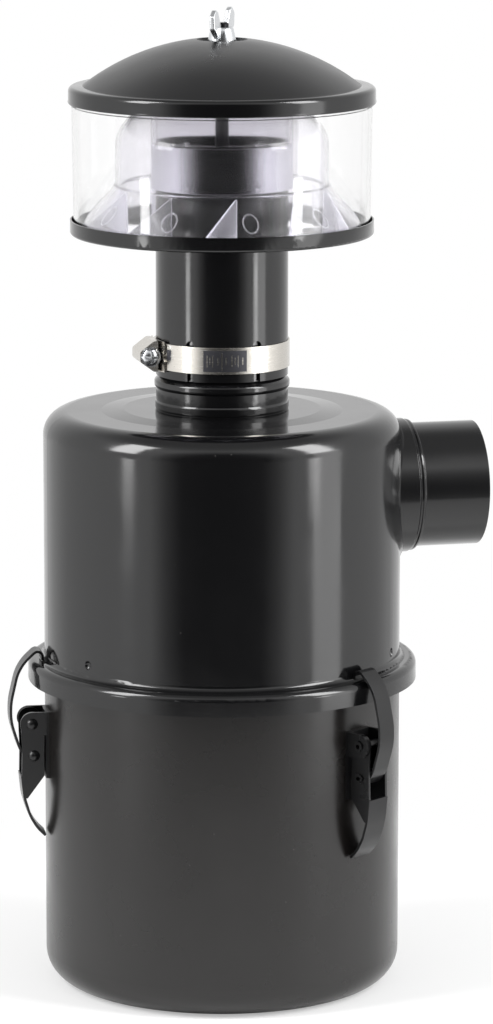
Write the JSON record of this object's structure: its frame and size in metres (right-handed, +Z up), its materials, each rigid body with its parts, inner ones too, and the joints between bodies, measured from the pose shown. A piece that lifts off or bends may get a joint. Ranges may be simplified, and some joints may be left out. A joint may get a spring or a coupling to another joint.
{
  "type": "oil bath air filter",
  "caption": "Oil bath engine air filter: black pressed housing over a latched oil bowl, side outlet spigot, and a clear swirl pre-cleaner clamped to the tube on top.",
  "frame": {"origin": "centre of the oil bowl's flat base", "axes": "+Z up along the filter's axis, +X out along the side outlet, +Y to the far side seen from the pictured front"},
  "size_m": [0.214, 0.1748, 0.4393],
  "materials": {
    "black_enamel": "semi-gloss stoved enamel on pressed steel",
    "tube_black": "semi-gloss black on steel tube",
    "lid_black": "satin black",
    "latch_black": "satin black",
    "clear_plastic": "clear moulded plastic, slightly violet grey",
    "rubber": "matt black",
    "stainless_steel": "rolled stainless strip",
    "zinc_plated": "bright zinc plate",
    "stud_black": "blackened steel",
    "plated_sheet": "plain plated sheet",
    "steel_wire": "crimped steel wire"
  },
  "bodies": {
    "filter_body": {"oil_bowl": "black_enamel", "oil_cup": "plated_sheet", "bowl_gasket": "rubber", "upper_housing": "black_enamel", "outlet_spigot": "black_enamel", "lower_grid": "plated_sheet", "filter_packing": "steel_wire", "upper_grid": "plated_sheet", "centre_tube": "black_enamel", "precleaner_tube": "tube_black", "clamp_band": "stainless_steel", "clamp_housing": "stainless_steel", "precleaner_base": "lid_black", "lower_seal": "rubber", "swirl_insert": "clear_plastic", "dust_bowl": "clear_plastic", "upper_seal": "rubber", "precleaner_lid": "lid_black", "stud_bridge": "stud_black", "stud": "stud_black", "latch_bracket_1": "latch_black", "lever_rivet_1": "latch_black", "latch_bracket_2": "latch_black", "lever_rivet_2": "latch_black", "latch_bracket_3": "latch_black", "lever_rivet_3": "latch_black"},
    "clamp_screw": {"clamp_screw": "zinc_plated"},
    "nut_washer": {"washer": "zinc_plated"},
    "wing_nut": {"wing_nut": "zinc_plated"},
    "lever_1": {"latch_lever_1": "latch_black", "bail_rivet_1": "latch_black"},
    "bail_1": {"latch_bail_1": "latch_black"},
    "lever_2": {"latch_lever_2": "latch_black", "bail_rivet_2": "latch_black"},
    "bail_2": {"latch_bail_2": "latch_black"},
    "lever_3": {"latch_lever_3": "latch_black", "bail_rivet_3": "latch_black"},
    "bail_3": {"latch_bail_3": "latch_black"}
  },
  "joints": [
    {"name": "lever_1_hinge", "type": "hinge", "parent": "filter_body", "child": "lever_1", "pos_m": [-0.08687, 0.0076, 0.1207], "axis": [0.0872, 0.9962, 0], "range_deg": [0, 70]},
    {"name": "bail_1_hinge", "type": "hinge", "parent": "lever_1", "child": "bail_1", "pos_m": [-0.08587, 0.00751, 0.1058], "axis": [0.0872, 0.9962, 0], "range_deg": [-70, 0]},
    {"name": "lever_2_hinge", "type": "hinge", "parent": "filter_body", "child": "lever_2", "pos_m": [0.05002, -0.07143, 0.1207], "axis": [-0.8192, -0.5736, 0], "range_deg": [0, 70]},
    {"name": "bail_2_hinge", "type": "hinge", "parent": "lever_2", "child": "bail_2", "pos_m": [0.04944, -0.07061, 0.1058], "axis": [-0.8192, -0.5736, 0], "range_deg": [-70, 0]},
    {"name": "lever_3_hinge", "type": "hinge", "parent": "filter_body", "child": "lever_3", "pos_m": [0.0436, 0.07552, 0.1207], "axis": [0.866, -0.5, 0], "range_deg": [0, 70]},
    {"name": "bail_3_hinge", "type": "hinge", "parent": "lever_3", "child": "bail_3", "pos_m": [0.0431, 0.07465, 0.1058], "axis": [0.866, -0.5, 0], "range_deg": [-70, 0]},
    {"name": "nut_rise", "type": "slide", "parent": "filter_body", "child": "nut_washer", "axis": [0, 0, 1], "range_m": [0, 0.0031]},
    {"name": "nut_turn", "type": "hinge", "parent": "nut_washer", "child": "wing_nut", "pos_m": [0, 0, 0.4245], "axis": [0, 0, 1], "range_deg": [0, 1080]},
    {"name": "clamp_screw_turn", "type": "hinge", "parent": "filter_body", "child": "clamp_screw", "pos_m": [-0.03455, 0, 0.28665], "axis": [0, -1, 0], "continuous": true}
  ],
  "couplings": [
    {"joint": "bail_1_hinge", "follows": "lever_1_hinge", "ratio": -1},
    {"joint": "bail_2_hinge", "follows": "lever_2_hinge", "ratio": -1},
    {"joint": "bail_3_hinge", "follows": "lever_3_hinge", "ratio": -1},
    {"joint": "nut_rise", "follows": "nut_turn", "m_per_rad": 0.00015915}
  ]
}
